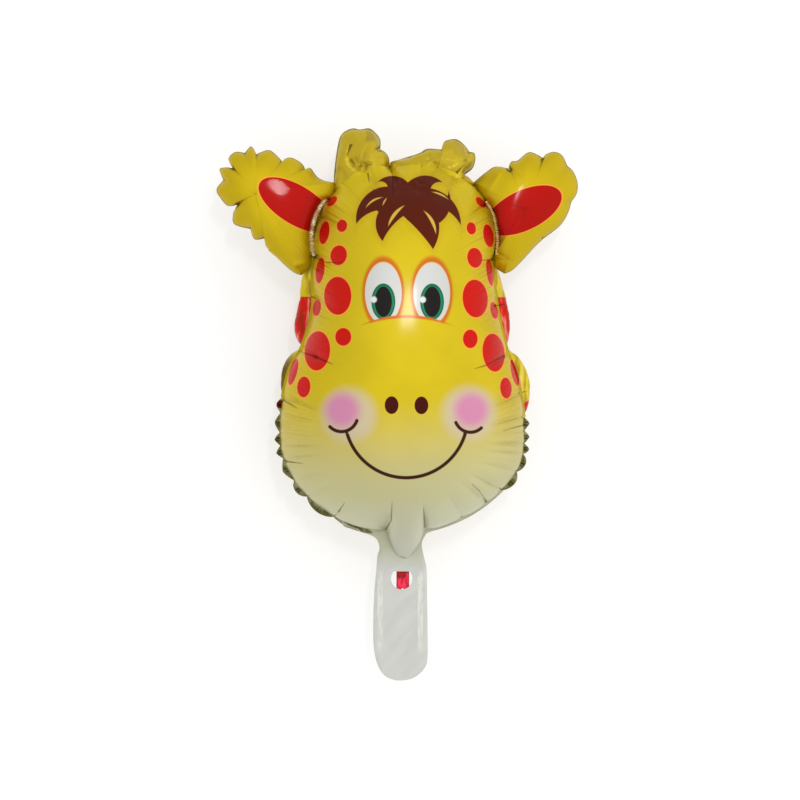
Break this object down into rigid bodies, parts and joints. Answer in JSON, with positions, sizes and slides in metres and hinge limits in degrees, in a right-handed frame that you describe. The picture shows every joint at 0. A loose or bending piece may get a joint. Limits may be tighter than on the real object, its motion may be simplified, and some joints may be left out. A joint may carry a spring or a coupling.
{
  "type": "giraffe foil balloon",
  "caption": "Blown-up foil balloon in the shape of a smiling giraffe's head, with ears, horns and a flat filling tail below the chin, lying on its back face up.",
  "frame": {"origin": "middle of the balloon's bounding box, at the height of the flat spot on the back that it lies on", "axes": "+X to the right as seen by someone looking at the face with the horns up, +Y from the tail to the horns, +Z from the back of the head to the face"},
  "size_m": [0.3126, 0.4808, 0.1316],
  "materials": {
    "printed_foil": "glossy printed metallised film, yellow with red spots, clear and unprinted at the tail",
    "valve_film": "thin glossy red film"
  },
  "bodies": {
    "root": {"foil_body": "printed_foil", "valve_film": "valve_film"}
  },
  "joints": []
}
